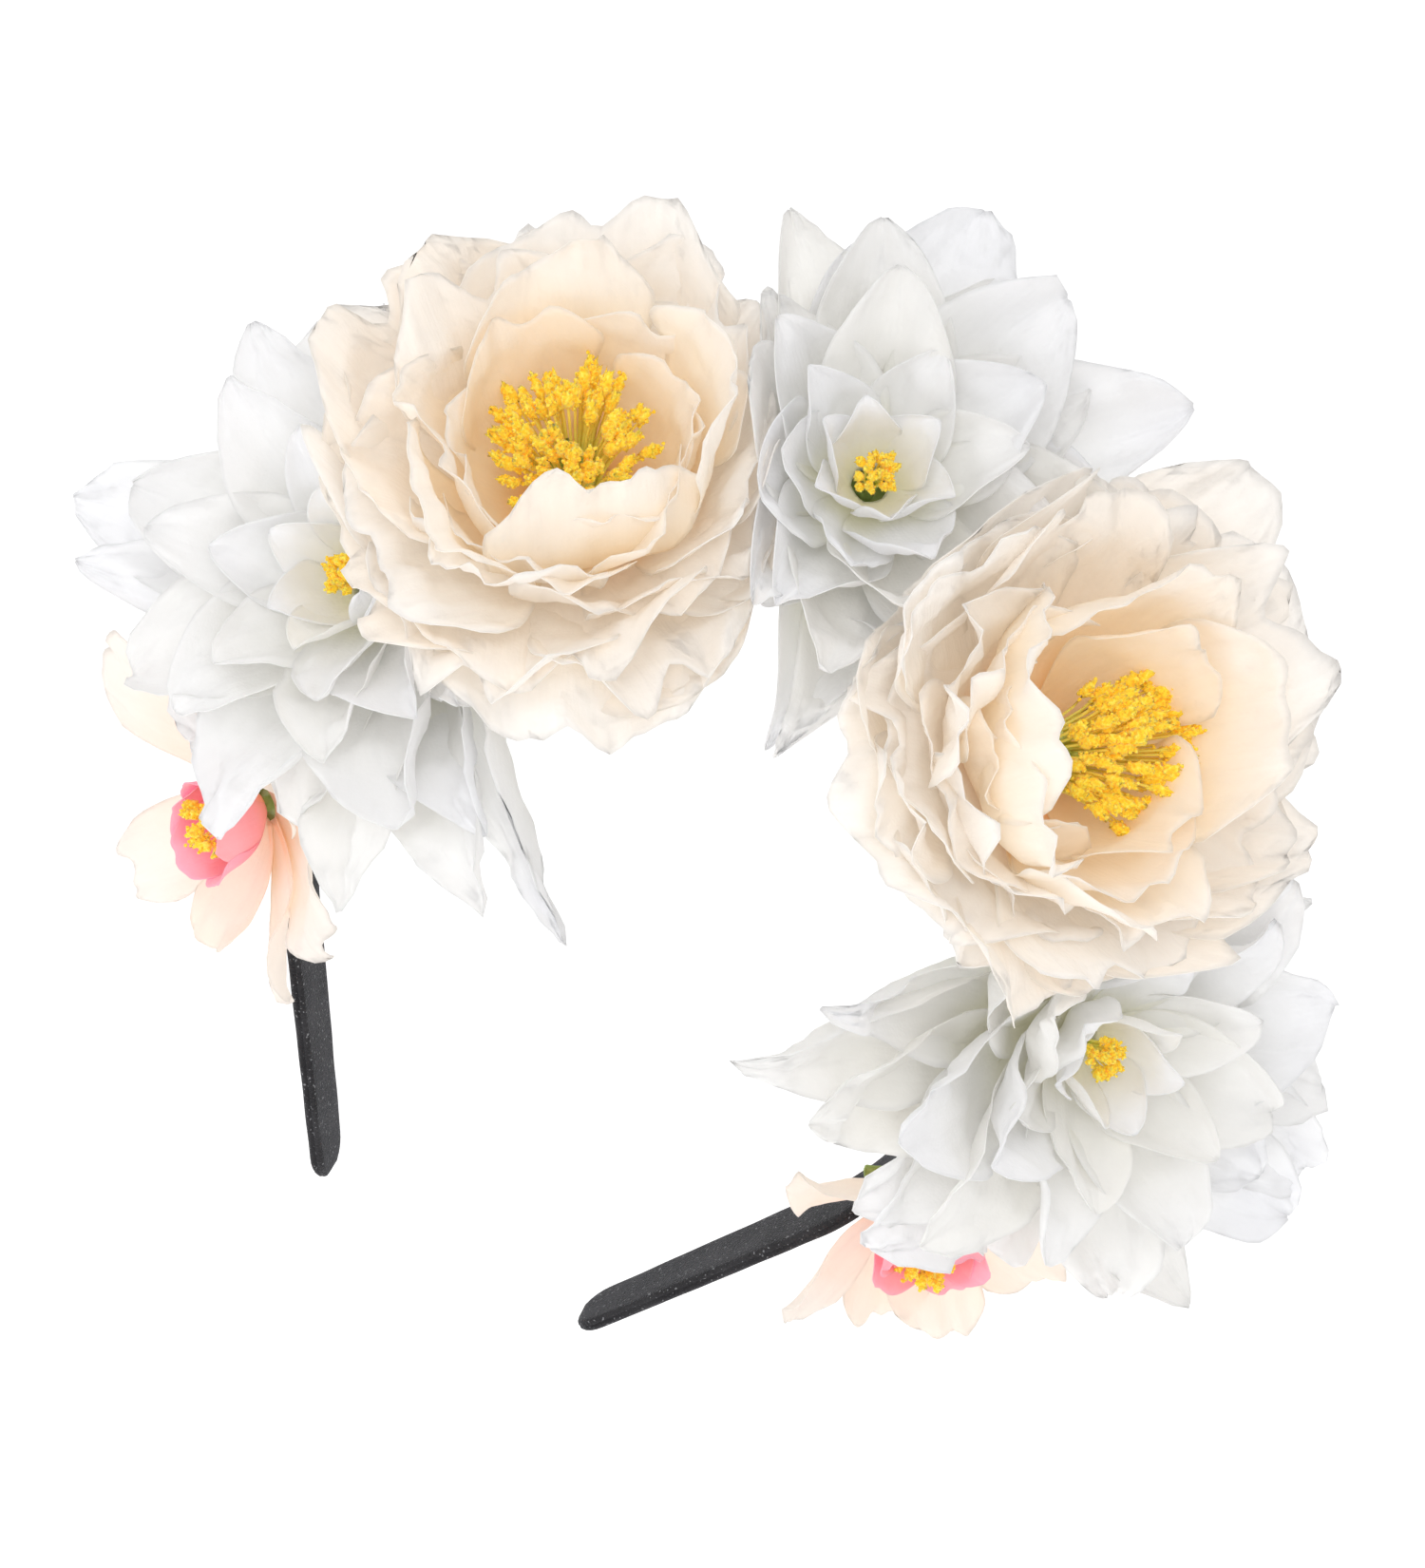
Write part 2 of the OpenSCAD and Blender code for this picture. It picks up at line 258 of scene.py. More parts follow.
def anther_material():
    """Golden flock. Its colour runs from orange where the grain bump is low to yellow where it
    is high: painted shade in the hollows and painted highlight on the raised grain.
    """
    material, tree, shader = new_material("anther_gold", 0.85, Sheen_Weight=0.3)
    grain_relief_and_shade = noise_value(tree, 1500, 2)
    # The gold is the flock's own colour; its spread from orange in the hollows to yellow on the raised
    # grain is painted shade and painted highlight
    gold = ramp(tree, grain_relief_and_shade, (
        (0.3, (1.0, 0.50, 0.02)),
        (0.48, (1.0, 0.70, 0.03)),
        (0.7, (1.0, 0.86, 0.12))))
    tree.links.new(gold, shader.inputs["Base Color"])
    # The anthers give off light in their own colour: painted light
    tree.links.new(gold, shader.inputs["Emission Color"])
    shader.inputs["Emission Strength"].default_value = ANTHER_PAINTED_GLOW
    bump(tree, shader, grain_relief_and_shade, 0.0005, 0.8)
    return material


def filament_material():
    """Thread that goes from green at the foot to yellow at the tip."""
    material, tree, shader = new_material(
        "filament_thread", 0.6, Subsurface_Weight=0.2, Subsurface_Scale=0.001)
    uv = add_node(tree, "ShaderNodeUVMap", uv_map="petal").outputs["UV"]
    along = add_node(tree, "ShaderNodeSeparateXYZ", {"Vector": uv}).outputs["Y"]
    dye = ramp(tree, along, (
        (0.0, (0.62, 0.74, 0.16)),
        (0.45, (0.95, 0.90, 0.22)),
        (1.0, (1.0, 0.76, 0.08))))
    fibres = noise_value(tree, 2500, 1)
    colour = mix_colour(tree, scaled(tree, fibres, 0.3), dye, (0.85, 0.8, 0.3))
    tree.links.new(colour, shader.inputs["Base Color"])
    bump(tree, shader, fibres, 0.0002)
    return material


def green_material(name, dark, light):
    """Moulded green plastic, mottled and slightly waxy."""
    material, tree, shader = new_material(name, 0.5, Subsurface_Weight=0.1, Subsurface_Scale=0.001)
    mottle = noise_value(tree, 320, 4)
    tree.links.new(ramp(tree, mottle, ((0.35, dark), (0.65, light))), shader.inputs["Base Color"])
    bump(tree, shader, mottle, 0.0004, 0.5)
    return material


def velvet_material():
    """Charcoal velvet: short pile with a pale sheen, brushed patches and specks of lint."""
    material, tree, shader = new_material(
        "charcoal_velvet", 0.95, Sheen_Weight=0.35, Sheen_Roughness=0.35, Specular_IOR_Level=0.1)
    shader.inputs["Sheen Tint"].default_value = (0.55, 0.56, 0.6, 1)
    pile = noise_value(tree, 2600, 2)
    brushed = noise_value(tree, 130, 3)
    dye = ramp(tree, brushed, ((0.3, (0.018, 0.0175, 0.019)), (0.7, (0.04, 0.039, 0.042))))
    dye = mix_colour(tree, scaled(tree, pile, 0.5), dye, (0.075, 0.073, 0.078))
    lint = ramp(tree, noise_value(tree, 1900, 0), ((0.72, (0, 0, 0)), (0.78, (1, 1, 1))))
    colour = mix_colour(tree, scaled(tree, lint, 0.55), dye, (0.4, 0.4, 0.42))
    tree.links.new(colour, shader.inputs["Base Color"])
    nap = math_value(tree, "ADD", pile, scaled(tree, brushed, 0.6))
    bump(tree, shader, nap, 0.0005, 0.9)
    return material


def felt_material():
    """Dark grey felt of matted fibres."""
    material, tree, shader = new_material("grey_felt", 0.95, Sheen_Weight=0.4, Sheen_Roughness=0.6)
    fibres = noise_value(tree, 1100, 5)
    colour = ramp(tree, fibres, ((0.3, (0.03, 0.03, 0.032)), (0.7, (0.11, 0.11, 0.115))))
    tree.links.new(colour, shader.inputs["Base Color"])
    bump(tree, shader, fibres, 0.0008, 0.9)
    return material


def glue_material():
    """Cloudy, waxy hot glue with drawn-out streaks."""
    material, tree, shader = new_material(
        "hot_glue", 0.32, Subsurface_Weight=0.4, Subsurface_Scale=0.003,
        Coat_Weight=0.3, Coat_Roughness=0.2)
    cloudy = noise_value(tree, 260, 3)
    colour = ramp(tree, cloudy, ((0.3, (0.66, 0.6, 0.44)), (0.7, (0.86, 0.82, 0.7))))
    tree.links.new(colour, shader.inputs["Base Color"])
    bump(tree, shader, cloudy, 0.0005, 0.4)
    return material


def steel_material():
    """Rolled spring steel with lengthwise drawing marks."""
    material, tree, shader = new_material("spring_steel", 0.35, Metallic=1.0)
    drawn = noise_value(tree, 900, 4)
    colour = ramp(tree, drawn, ((0.3, (0.4, 0.41, 0.43)), (0.7, (0.6, 0.61, 0.63))))
    tree.links.new(colour, shader.inputs["Base Color"])
    bump(tree, shader, drawn, 0.0001, 0.3)
    return material


# Colours at a petal's foot, middle and rim, the tint that some petals take on, and where it differs the
# strength of the painted glow
IVORY = petal_material(
    "ivory_petal", throat=(1.0, 0.87, 0.67), middle=(1.0, 0.96, 0.90),
    rim=(0.995, 0.975, 0.95), tint=(1.0, 0.945, 0.875))
BLUSH = petal_material(
    "blush_petal", throat=(1.0, 0.75, 0.40), middle=(1.0, 0.93, 0.81),
    rim=(1.0, 0.965, 0.92), tint=(1.0, 0.91, 0.78), painted_glow=0.072)
WHITE = petal_material(
    "white_petal", throat=(0.97, 0.96, 0.85), middle=(0.97, 0.968, 0.96),
    rim=(0.965, 0.965, 0.975), tint=(0.97, 0.955, 0.91), veins=18, shine_through=0.34, painted_glow=0.03)
CREAM = petal_material(
    "cream_petal", throat=(1.0, 0.78, 0.56), middle=(1.0, 0.92, 0.84),
    rim=(0.98, 0.94, 0.90), tint=(1.0, 0.88, 0.76))
CORAL = petal_material(
    "coral_petal", throat=(1.0, 0.64, 0.42), middle=(1.0, 0.49, 0.60),
    rim=(1.0, 0.60, 0.72), tint=(1.0, 0.60, 0.62))
GOLD = anther_material()
THREAD = filament_material()
LEAF = green_material("calyx_green", (0.21, 0.30, 0.07), (0.32, 0.42, 0.12))
HEART_GREEN = green_material("pistil_green", (0.40, 0.50, 0.08), (0.66, 0.72, 0.24))
VELVET = velvet_material()
FELT = felt_material()
GLUE = glue_material()
STEEL = steel_material()

# ---------------------------------------------------------------- mesh helpers


class Sheet:
    """Collects grids of points into one mesh, with a UV map along each petal and its tint."""

    def __init__(self):
        self.points, self.faces, self.uvs, self.tints = [], [], [], []

    def grid(self, rows, tint=0.0, closed=False):
        """rows[i][j] is (point, across, along). Closed joins each row's end to its start."""
        first, width = len(self.points), len(rows[0])
        for row in rows:
            for point, across, along in row:
                self.points.append(point)
                self.uvs.append((across, along))
                self.tints.append(tint)
        for i in range(len(rows) - 1):
            for j in range(width if closed else width - 1):
                a, b = first + i * width + j, first + i * width + (j + 1) % width
                self.faces.append((a, b, b + width, a + width))

    def cap(self, first, width, flip=False):
        """Closes a ring of points that starts at index first."""
        ring = tuple(range(first, first + width))
        self.faces.append(ring[::-1] if flip else ring)

    def build(self, name, material, matrix=None):
        mesh = bpy.data.meshes.new(name)
        mesh.from_pydata(self.points, [], self.faces)
        layer = mesh.uv_layers.new(name="petal")
        for loop in mesh.loops:
            layer.data[loop.index].uv = self.uvs[loop.vertex_index]
        attribute = mesh.attributes.new("tint", "FLOAT", "POINT")
        attribute.data.foreach_set("value", self.tints)
        mesh.materials.append(material)
        mesh.shade_smooth()
        if matrix is not None:
            mesh.transform(matrix)
        made = bpy.data.objects.new(name, mesh)
        bpy.context.scene.collection.objects.link(made)
        return made


def thicken(piece, thickness):
    """Gives a sheet its thickness in millimetres, half on each side."""
    solid = piece.modifiers.new("thickness", "SOLIDIFY")
    solid.thickness = thickness * MM
    solid.offset = 0


# ---------------------------------------------------------------- petals

PETAL_ROWS = 24
PETAL_COLUMNS = 22
PETAL_T = 0.16
# Millimetres across a petal for one unit of its UV map, which places the pressed veins
VEIN_SPAN = 40


def eased(t):
    return t * t * (3 - 2 * t)


def round_width(v):
    """Share of the full width along a rounded petal: a narrow claw, then a broad fan."""
    return 0.24 + 0.76 * math.sin(min(v / 0.7, 1) * math.pi / 2) ** 1.2 - 0.16 * max(v - 0.7, 0) / 0.3


def pointed_width(v):
    """Share of the full width along a long petal that ends in a point."""
    v = min(max(v, 0.0), 1.0)
    swell = math.sin(math.pi * v ** 1.1) ** 0.62 if v < 1 else 0.0
    return max(0.34 * (1 - v) ** 1.5 + 0.98 * swell * (1 - 0.1 * v), 0.05)


def spine_of(length, start, end, foot, level, curl, steps=40):
    """A petal's middle line: (distance from the axis, height, angle from the axis)."""
    spine = [(foot, level, math.radians(start))]
    for k in range(steps):
        r, w, _ = spine[-1]
        t = (k + 0.5) / steps
        opening = (end - start) * eased(min(t * 1.25, 1))
        turned_out = curl * max(0, t - 0.6) ** 2 / 0.16
        angle = math.radians(start + opening + turned_out)
        r += math.sin(angle) * length / steps
        w += math.cos(angle) * length / steps
        spine.append((r, w, angle))
    return spine


def rim_reach(u, notch, notch_at, phase):
    """How far a rounded petal reaches at u, as a share: scalloped, with one deeper cut."""
    scallop = 0.6 * math.sin(4.2 * u + phase[3]) + 0.4 * math.sin(8.5 * u + phase[4])
    split = math.exp(-((u - notch_at) / 0.2) ** 2)
    return 1 - 0.25 * abs(u) ** 3 - notch * (0.07 * scallop + 0.13 * split)


def ruffled(u, along, phase):
    """The wave of a petal's rim and of its two sides."""
    rim = math.sin(4.0 * u + phase[0] + 2 * along) + 0.55 * math.sin(9.5 * u + phase[1])
    rim += 0.28 * math.sin(17 * u + phase[2])
    side = math.sin(8 * along + phase[2] + (2 if u > 0 else 0))
    return along ** 4 * rim + abs(u) ** 3 * along ** 1.5 * side


def pleated(u, along, phase):
    """Folds pressed along a petal, deepest half way up."""
    return math.cos(1.9 * math.pi * u + phase[5]) * math.sin(math.pi * min(along, 1)) ** 0.7


def crumpled(x, y, along, seed):
    """Soft dents, with finer ones towards the rim."""
    low = noise.noise(Vector((x * 0.07, y * 0.09, 0)) + seed)
    fine = noise.noise(Vector((x * 0.22, y * 0.26, 7)) + seed)
    return along * (2.0 * low + 0.8 * fine * (0.3 + along))


def petal_rows(rng, length, width, start, end, foot, level, shape="round", cup=0.5, ruffle=0.0,
               notch=0.0, pleat=0.0, crumple=0.6, curl=0.0, lean=0.0, roll=0.0, crease=0.0):
    """One petal on the flower's +X side, as rows of points from its foot to its rim.

    start and end are the angles from the flower's axis at the foot and the rim, in degrees.
    foot is the foot's distance from the axis and level its height. cup bends the two sides
    inward (radians at the edge), ruffle waves the rim, notch cuts it, pleat presses folds
    along it, curl turns the last part outward, lean swings it sideways, roll lifts one side,
    and crease folds it along its middle.
    """
    phase = [rng.uniform(0, 2 * math.pi) for _ in range(6)]
    seed = Vector((rng.uniform(-50, 50), rng.uniform(-50, 50), rng.uniform(-50, 50)))
    spine = spine_of(length, start, end, foot, level, curl)
    steps = len(spine) - 1
    width_at = round_width if shape == "round" else pointed_width
    notch_at = rng.uniform(-0.4, 0.4)
    rows = []
    for i in range(PETAL_ROWS + 1):
        v = i / PETAL_ROWS
        row = []
        for j in range(PETAL_COLUMNS + 1):
            u = 2 * j / PETAL_COLUMNS - 1
            along = v * (rim_reach(u, notch, notch_at, phase) if shape == "round" else 1.0)
            k = min(max(along, 0) * steps, steps - 1e-6)
            a, b = spine[int(k)], spine[int(k) + 1]
            f = k - int(k)
            r, w, angle = (a[n] + (b[n] - a[n]) * f for n in range(3))
            half = width / 2 * width_at(along)
            share = width_at(along) if shape == "pointed" else 1.0
            bend = max(cup * (0.4 + 0.6 * along), 1e-3)
            side = half * math.sin(bend * u) / bend
            rise = half * (1 - math.cos(bend * u)) / bend
            rise += 0.7 * ruffle * share * ruffled(u, along, phase)
            rise += pleat * share * pleated(u, along, phase)
            rise += (roll * u * along + crease * (math.sqrt(u * u + 0.02) - 0.14)) * half
            side += lean * length * along * along
            rise += crumple * crumpled(along * length, u * half, along, seed)
            place = Vector((r - math.cos(angle) * rise, side, w + math.sin(angle) * rise))
            row.append((place * MM, 0.5 + side / VEIN_SPAN, along))
        rows.append(row)
    return rows


def turned(rows, degrees):
    """The same petal, spun round the flower's axis."""
    spin = Matrix.Rotation(math.radians(degrees), 3, "Z")
    return [[(spin @ point, across, along) for point, across, along in row] for row in rows]


def add_ring(sheet, rng, count, offset, jitter=1.0, sway=(0, 0), left_out=(), **petal):
    """A ring of petals, each a little different from the next. sway is a direction and the
    share by which the petals on that side are longer. left_out numbers the missing ones."""
    for i in range(count):
        if i in left_out:
            continue
        own = dict(petal)
        own["length"] *= 1 + sway[1] * math.cos(math.radians(offset + i * 360 / count - sway[0]))
        own["length"] *= 1 + jitter * rng.uniform(-0.09, 0.07)
        own["width"] *= 1 + jitter * rng.uniform(-0.1, 0.12)
        own["start"] += jitter * rng.uniform(-4, 4)
        own["end"] += jitter * rng.uniform(-13, 13)
        own["curl"] = own.get("curl", 0.0) + jitter * rng.uniform(-18, 22)
        own["roll"] = own.get("roll", 0.0) + jitter * rng.uniform(-0.28, 0.28)
        own["lean"] = own.get("lean", 0.0) + jitter * rng.uniform(-0.14, 0.14)
        spin = offset + (i + jitter * rng.uniform(-0.16, 0.16)) * 360 / count
        sheet.grid(turned(petal_rows(rng, **own), spin), rng.random() ** 2 * 0.6)


def add_placed(sheet, rng, places, **petal):
    """Petals that each have their own place: (spin, length) and what else differs."""
    for spin, length, *changes in places:
        own = {**petal, "length": length, **(changes[0] if changes else {})}
        own["roll"] = own.get("roll", rng.uniform(-0.35, 0.35))
        own["lean"] = own.get("lean", rng.uniform(-0.16, 0.16))
        own["end"] += rng.uniform(-9, 9)
        own["curl"] += rng.uniform(-16, 22)
        sheet.grid(turned(petal_rows(rng, **own), spin), rng.random() ** 2 * 0.5)


# ---------------------------------------------------------------- flowers

# The rings of petals in each fabric layer, from the outside in
PEONY_LAYERS = {
    "outer_petals": (IVORY, [
        dict(count=7, offset=0, length=45, width=52, start=90, end=66, foot=5, level=0.6,
             cup=0.7, ruffle=4.2, notch=1.0, crumple=2.5, curl=18),
        dict(count=7, offset=27, length=44, width=48, start=84, end=54, foot=5, level=1.0,
             cup=0.75, ruffle=4.2, notch=1.0, crumple=2.4, curl=24)]),
    "middle_petals": (IVORY, [
        dict(count=6, offset=8, length=42, width=46, start=78, end=43, foot=5, level=2.0,
             cup=0.8, ruffle=4.0, notch=1.0, crumple=2.2, curl=28),
        dict(count=6, offset=38, length=39, width=42, start=70, end=32, foot=5, level=2.6,
             cup=0.85, ruffle=3.8, notch=1.0, crumple=2.1, curl=26)]),
    "inner_petals": (BLUSH, [
        dict(count=5, offset=12, length=36, width=38, start=62, end=14, foot=6, level=3.6,
             cup=0.95, ruffle=2.8, notch=0.7, crumple=1.5, curl=18)]),
    "cup_petals": (BLUSH, [
        dict(count=4, offset=70, length=29, width=31, start=52, end=6, foot=7, level=5.0,
             cup=0.85, ruffle=2.0, notch=0.6, crumple=1.2, curl=12)]),
}

# Petals that stand out from their ring, for each peony
PEONY_FEATURES = {
    "left_peony": {
        "cup_petals": [
            (-40, 37, dict(width=37, start=64, end=-42, foot=8, cup=0.25, ruffle=4.2, curl=16,
                           roll=0.2)),
            (48, 41, dict(width=36, start=58, end=0, foot=9, cup=1.0, ruffle=2.2, roll=0.1))],
        "inner_petals": [
            (-95, 38, dict(width=34, start=66, end=8, foot=8, cup=0.8, ruffle=3.0, curl=34))]},
    "right_peony": {
        "cup_petals": [
            (172, 36, dict(width=38, start=52, end=-12, foot=7, cup=0.4, ruffle=4.6, curl=26)),
            (-128, 35, dict(width=28, start=58, end=2, foot=8, cup=1.4, ruffle=3.0, curl=36)),
            (-72, 37, dict(width=36, start=70, end=20, foot=8, cup=1.1, ruffle=2.6, curl=30))]},
}
# The way each peony's petals grow longer, and by what share
PEONY_SWAY = {"left_peony": (160, 0.13), "right_peony": (45, 0.30)}
FEATURE_BASE = dict(level=5.2, notch=0.7, crumple=1.2, curl=0)

# The long outer petals of each dahlia: (spin round the axis, length)
DAHLIA_LONG = {
    "left_dahlia": [
        (-154, 70), (-141, 63, dict(width=17)), (157, 56), (178, 42), (-116, 40), (-92, 48), (-60, 40),
        (-39, 56), (-22, 66), (3, 84, dict(width=34, end=84)), (-10, 54), (80, 44), (120, 44)],
    "top_dahlia": [
        (138, 48), (122, 40), (104, 50, dict(width=30)), (84, 42), (60, 38), (44, 54, dict(width=26)),
        (26, 36), (-20, 34), (-40, 36), (-57, 66, dict(width=28)), (-78, 52), (180, 38), (-120, 36)],
    "right_dahlia": [
        (-178, 66), (170, 64), (-157, 60), (-136, 48), (-112, 56, dict(width=30)), (-86, 44), (-57, 60),
        (-42, 50), (-30, 68), (-10, 66), (4, 54), (36, 46), (70, 40), (120, 40)],
}
# Factor on the length of the petals in each dahlia's inner rings
DAHLIA_FULLNESS = {"left_dahlia": 1.0, "top_dahlia": 0.86, "right_dahlia": 0.98}
DAHLIA_OUTER = dict(width=25, start=94, end=72, foot=4, level=0.6, shape="pointed",
                    cup=0.6, pleat=0.9, crumple=2.8, curl=20, ruffle=2.8, crease=0.25)

DAHLIA_LAYERS = {
    "outer_petals": (WHITE, []),
    "middle_petals": (WHITE, [
        dict(count=8, offset=18, length=49, width=27, start=84, end=58, foot=4, level=2.2,
             shape="pointed", cup=0.7, pleat=0.9, crumple=2.7, curl=26, ruffle=2.6, crease=0.25)]),
    "inner_petals": (WHITE, [
        dict(count=7, offset=5, length=39, width=23, start=72, end=42, foot=4, level=3.8,
             shape="pointed", cup=0.8, pleat=0.7, crumple=2.2, curl=30, ruffle=2.1, crease=0.3),
        dict(count=6, offset=30, length=29, width=18, start=60, end=28, foot=3.6, level=4.4,
             shape="pointed", cup=1.1, pleat=0.7, crumple=1.4, curl=30, ruffle=1.3)]),
    "heart_petals": (WHITE, [
        dict(count=6, offset=10, length=19, width=13, start=48, end=14, foot=3, level=5.4,
             shape="pointed", cup=1.2, pleat=0.3, crumple=0.7, curl=34, ruffle=0.5)]),
}

# The petals of each blossom: (spin round the axis, length)
BLOSSOM_PETALS = {
    "left_blossom": [
        (-130, 40), (-80, 30), (-34, 34), (2, 38, dict(curl=60)), (60, 28), (174, 40), (125, 34)],
    "right_blossom": [
        (-120, 32, dict(start=78, end=44)), (-72, 36), (-55, 40), (-12, 38), (30, 34), (90, 28),
        (160, 38, dict(curl=60))],
}
BLOSSOM_PETAL = dict(width=19, start=88, end=58, foot=3, level=0.6, cup=0.8, ruffle=1.2, notch=0.3,
                     crumple=1.0, curl=26)
BELL_PETALS = dict(count=6, offset=20, length=16, width=14, start=54, end=8, foot=2.6, level=2.2,
                   cup=1.0, ruffle=0.5, notch=0.3, crumple=0.4, curl=30)

# Where neighbours press on each other: the neighbour, and the share of the way to it
PRESSED_BY = {
    "left_peony": (("left_dahlia", 0.86), ("top_dahlia", 0.78), ("right_peony", 0.5)),
    "right_peony": (("right_dahlia", 0.68), ("top_dahlia", 0.74), ("left_peony", 0.5)),
    "left_dahlia": (("left_peony", 0.5), ("left_blossom", 0.8)),
    "right_dahlia": (("right_peony", 0.55), ("right_blossom", 0.8)),
    "top_dahlia": (("left_peony", 0.46), ("right_peony", 0.58)),
    "left_blossom": (("left_dahlia", 0.4),),
    "right_blossom": (("right_dahlia", 0.4),),
}
# Millimetres short of a neighbour's plane at which a petal starts to give way
SOFT_REACH = 15


def heart_of(name):
    """The middle of a flower, in metres in the shared frame."""
    return flower_matrix(name) @ Vector((0, 0, HEART_H * MM))


def press(piece, flower):
    """Flattens what reaches past the planes where the flower's neighbours press on it."""
    heart = heart_of(flower)
    soft = SOFT_REACH * MM
    for neighbour, share in PRESSED_BY[flower]:
        away = heart_of(neighbour) - heart
        limit = heart + away * share
        away.normalize()
        for vertex in piece.data.vertices:
            past = (vertex.co - limit).dot(away) + soft
            if past > 0:
                vertex.co -= away * (past - soft * (1 - math.exp(-past / soft)))


# The record's material slot for each finish
SLOTS = {
    IVORY: "ivory_fabric", BLUSH: "blush_fabric", WHITE: "white_fabric", CREAM: "cream_fabric",
    CORAL: "coral_fabric", HEART_GREEN: "green_plastic", LEAF: "green_plastic",
    VELVET: "black_velvet", FELT: "grey_felt", GLUE: "hot_glue",
}


def stand_for(piece, slot, *nodes):
    """The piece takes these CAD nodes' place: they are hidden. slot is not used."""
    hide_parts(*nodes)


def make_petal_piece(flower, layer, sheet, material):
    node = f"{flower}_{layer}"
    piece = sheet.build(f"{node}_fabric", material, flower_matrix(flower))
    press(piece, flower)
    thicken(piece, PETAL_T)
    stand_for(piece, SLOTS[material], node)
    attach(piece, "crown")


def make_peony_petals(flower):
    for layer, (material, rings) in PEONY_LAYERS.items():
        rng = random.Random(f"{flower}-{layer}")
        sheet = Sheet()
        for ring in rings:
            add_ring(sheet, rng, sway=PEONY_SWAY[flower], **ring)
        add_placed(sheet, rng, PEONY_FEATURES[flower].get(layer, []), **FEATURE_BASE)
        make_petal_piece(flower, layer, sheet, material)


def make_dahlia_petals(flower):
    for layer, (material, rings) in DAHLIA_LAYERS.items():
        rng = random.Random(f"{flower}-{layer}")
        sheet = Sheet()
        for ring in rings:
            add_ring(sheet, rng, **{**ring, "length": ring["length"] * DAHLIA_FULLNESS[flower]})
        if layer == "outer_petals":
            add_placed(sheet, rng, DAHLIA_LONG[flower], **DAHLIA_OUTER)
        make_petal_piece(flower, layer, sheet, material)


def make_blossom_petals(flower):
    rng = random.Random(flower)
    sheet = Sheet()
    add_placed(sheet, rng, BLOSSOM_PETALS[flower], **BLOSSOM_PETAL)
    make_petal_piece(flower, "petals", sheet, CREAM)
    sheet = Sheet()
    add_ring(sheet, rng, **BELL_PETALS)
    make_petal_piece(flower, "bell", sheet, CORAL)


# ---------------------------------------------------------------- stamens and hearts


def tube(sheet, path, radii, sides=5):
    """A thin round thread along a path, closed at both ends."""
    first = len(sheet.points)
    rows = []
    for k, (point, radius) in enumerate(zip(path, radii)):
        ahead = (path[min(k + 1, len(path) - 1)] - path[max(k - 1, 0)]).normalized()
        side = ahead.orthogonal().normalized()
        other = ahead.cross(side)
        row = []
        for j in range(sides):
            angle = 2 * math.pi * j / sides
            place = point + (side * math.cos(angle) + other * math.sin(angle)) * radius
            row.append((place * MM, j / sides, k / (len(path) - 1)))
        rows.append(row)
    sheet.grid(rows, closed=True)
    sheet.cap(first, sides, flip=True)
    sheet.cap(first + (len(rows) - 1) * sides, sides)


def lump(sheet, rng, centre, along, length, radius, rough, rings=8, sides=9):
    """A small granular clump, longer one way."""
    side = along.orthogonal().normalized()
    other = along.cross(side)
    seed = Vector((rng.uniform(-9, 9), rng.uniform(-9, 9), rng.uniform(-9, 9)))
    first = len(sheet.points)
    rows = []
    for i in range(rings + 1):
        lift = math.pi * (0.04 + 0.92 * i / rings)
        row = []
        for j in range(sides):
            angle = 2 * math.pi * (j + 0.5 * (i % 2)) / sides
            out = side * math.cos(angle) + other * math.sin(angle)
            direction = out * math.sin(lift) - along * math.cos(lift)
            swell = 1 + rough * noise.noise(direction * 2.6 + seed) * 2
            offset = out * math.sin(lift) * radius - along * math.cos(lift) * length / 2
            row.append(((centre + offset * swell) * MM, j / sides, i / rings))
        rows.append(row)
    sheet.grid(rows, closed=True)
    sheet.cap(first, sides, flip=True)
    sheet.cap(first + rings * sides, sides)


# Golden grains on each stamen's clump
GRAINS = 11


def make_stamens(flower, count, foot_z, spread, height, thread_r, clump_l, clump_r, fan=(0, 0)):
    """A tuft of threads with a golden clump on each. fan leans the tuft as a whole."""
    rng = random.Random(f"{flower}-stamens")
    threads, clumps = Sheet(), Sheet()
    for _ in range(count):
        out = math.sqrt(rng.uniform(0.06, 1))
        angle = rng.uniform(0, 2 * math.pi)
        aim = Vector((math.cos(angle), math.sin(angle), 0))
        foot = aim * out * spread * 0.3 + Vector((0, 0, foot_z))
        top_z = foot_z + height * (1.06 - 0.34 * out * out) * rng.uniform(0.86, 1.08)
        tip = aim * out * spread * rng.uniform(0.85, 1.1) + Vector((fan[0], fan[1], 0)) * height
        tip.z = top_z
        sag = aim * out * spread * 0.12
        path = [foot.lerp(tip, t) - sag * 4 * t * (1 - t) for t in (0, 0.25, 0.5, 0.75, 1)]
        tube(threads, path, [thread_r * s for s in (1.3, 1, 0.9, 0.85, 0.8)])
        along = (tip - path[-2]).normalized()
        long = clump_l * rng.uniform(0.8, 1.3)
        wide = clump_r * rng.uniform(0.8, 1.2)
        lump(clumps, rng, tip, along, long, wide, 0.42)
        for _grain in range(GRAINS):
            scatter = Vector((rng.gauss(0, 1), rng.gauss(0, 1), rng.gauss(0, 1))).normalized()
            spot = tip + scatter * clump_r * 0.95 + along * rng.uniform(-0.5, 0.5) * clump_l
            lump(clumps, rng, spot, scatter, clump_r * 0.8, clump_r * 0.42, 0.2, 4, 5)
    node = f"{flower}_stamens"
    slot = "amber_stamens" if "dahlia" in flower else "yellow_stamens"
    matrix = flower_matrix(flower)
    for sheet, part, material in ((threads, "threads", THREAD), (clumps, "anthers", GOLD)):
        piece = sheet.build(f"{node}_{part}", material, matrix)
        stand_for(piece, slot, node)
        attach(piece, "crown")


